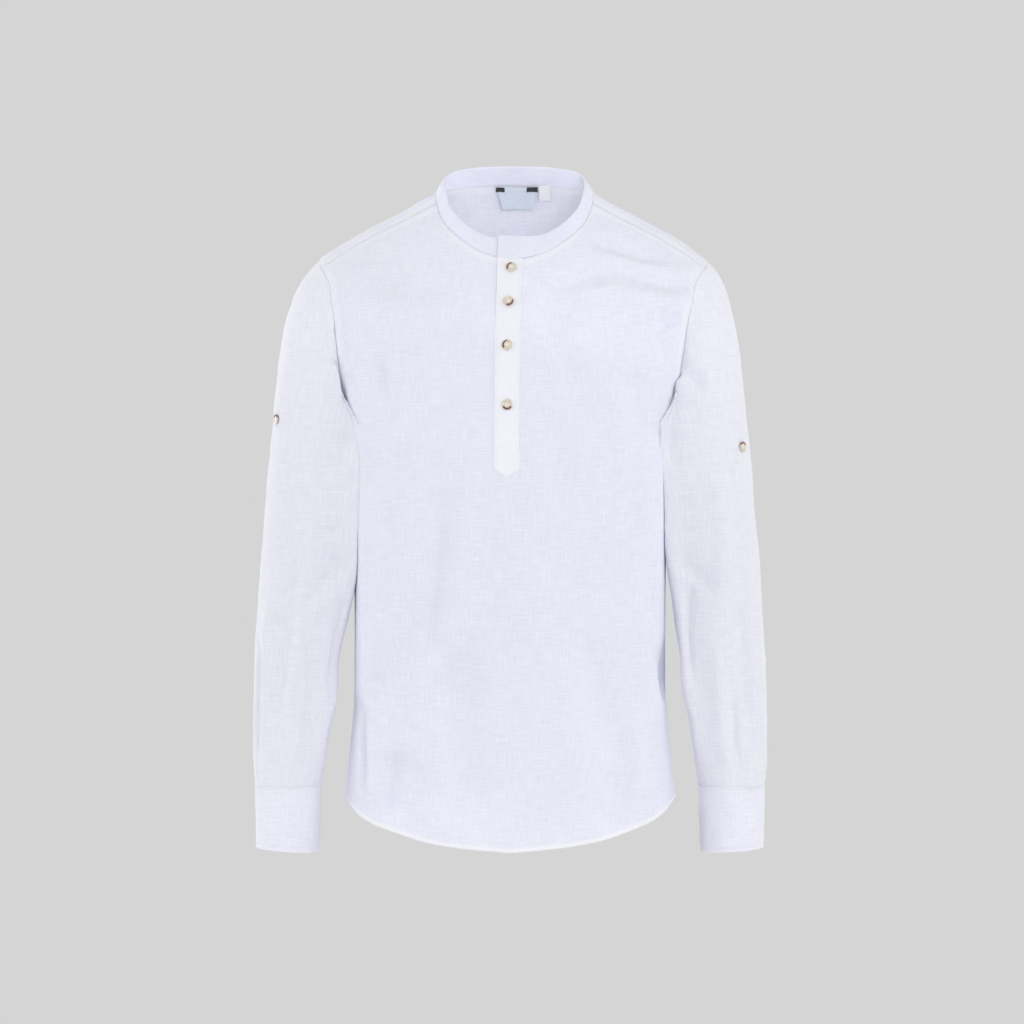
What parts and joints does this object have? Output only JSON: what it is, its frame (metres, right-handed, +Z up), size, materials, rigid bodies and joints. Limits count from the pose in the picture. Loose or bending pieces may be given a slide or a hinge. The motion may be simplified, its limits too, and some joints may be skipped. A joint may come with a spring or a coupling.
{
  "type": "band-collar pullover shirt",
  "caption": "Long-sleeved pullover shirt with a mandarin collar, a buttoned half placket and a curved shirt-tail hem, hollow as worn.",
  "frame": {"origin": "centre of the neck at the height of the high shoulder points, where the wearer's shoulders hold the shirt up", "axes": "+Z up, the front faces -Y, +X to the wearer's left"},
  "size_m": [0.5628, 0.2386, 0.7624],
  "materials": {
    "shirt_cloth": "matt white slub linen, plain weave",
    "button": "cream resin with a brown marbled patch on the rim",
    "label": "silver-grey woven label",
    "tape": "black woven tape",
    "tag": "white woven size tag"
  },
  "bodies": {
    "root": {"front": "shirt_cloth", "back": "shirt_cloth", "placket": "shirt_cloth", "placket_under": "shirt_cloth", "collar_band": "shirt_cloth", "sleeve_left": "shirt_cloth", "sleeve_right": "shirt_cloth", "cuff_left": "shirt_cloth", "cuff_right": "shirt_cloth", "cuff_strip_left": "shirt_cloth", "cuff_strip_right": "shirt_cloth", "neck_label": "label", "label_tab_right": "tape", "label_tab_left": "tape", "size_tag": "tag", "button_1": "button", "button_2": "button", "button_3": "button", "button_4": "button", "tab_button_left": "button", "tab_button_right": "button", "cuff_button_left": "button", "cuff_button_right": "button"}
  },
  "joints": []
}
